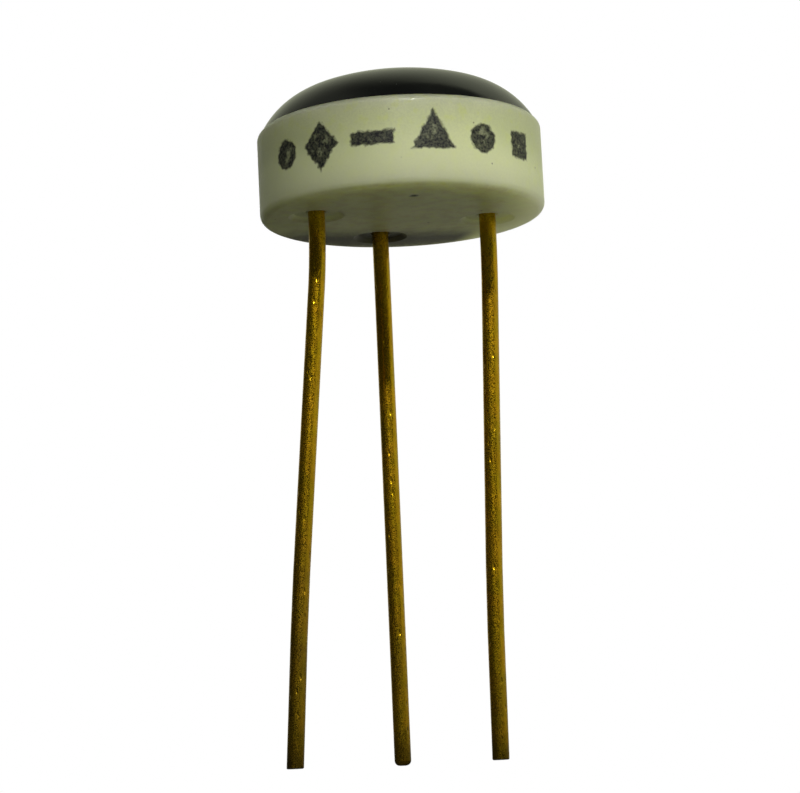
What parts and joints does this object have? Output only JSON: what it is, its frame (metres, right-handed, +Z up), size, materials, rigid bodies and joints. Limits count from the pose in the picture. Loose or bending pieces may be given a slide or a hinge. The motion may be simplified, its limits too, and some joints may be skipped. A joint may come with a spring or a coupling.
{
  "type": "ceramic-header transistor",
  "caption": "Small transistor on a thick round white ceramic header, with a glossy black cast resin dome on top and long gold wire leads below for soldering into a board.",
  "frame": {"origin": "centre of the ceramic header's flat underside, the seating plane", "axes": "+Z up along the header's axis to the top of the resin dome, +X towards the emitter lead, +Y towards the base lead"},
  "size_m": [0.0082, 0.0082, 0.0196],
  "materials": {
    "ceramic": "semi-gloss off-white with worn dark print",
    "resin": "glossy black cast resin",
    "gold_wire": "gold-plated drawn wire, dull and scratched low down",
    "metal_film": "thin fired metal film",
    "silicon": "polished grey silicon",
    "bond_gold": "fine bright gold wire"
  },
  "bodies": {
    "root": {"ceramic_header": "ceramic", "epoxy_cap": "resin", "emitter_lead": "gold_wire", "base_lead": "gold_wire", "collector_lead": "gold_wire", "emitter_land": "metal_film", "base_land": "metal_film", "collector_land": "metal_film", "transistor_die": "silicon", "emitter_bond_wire": "bond_gold", "base_bond_wire": "bond_gold"}
  },
  "joints": []
}
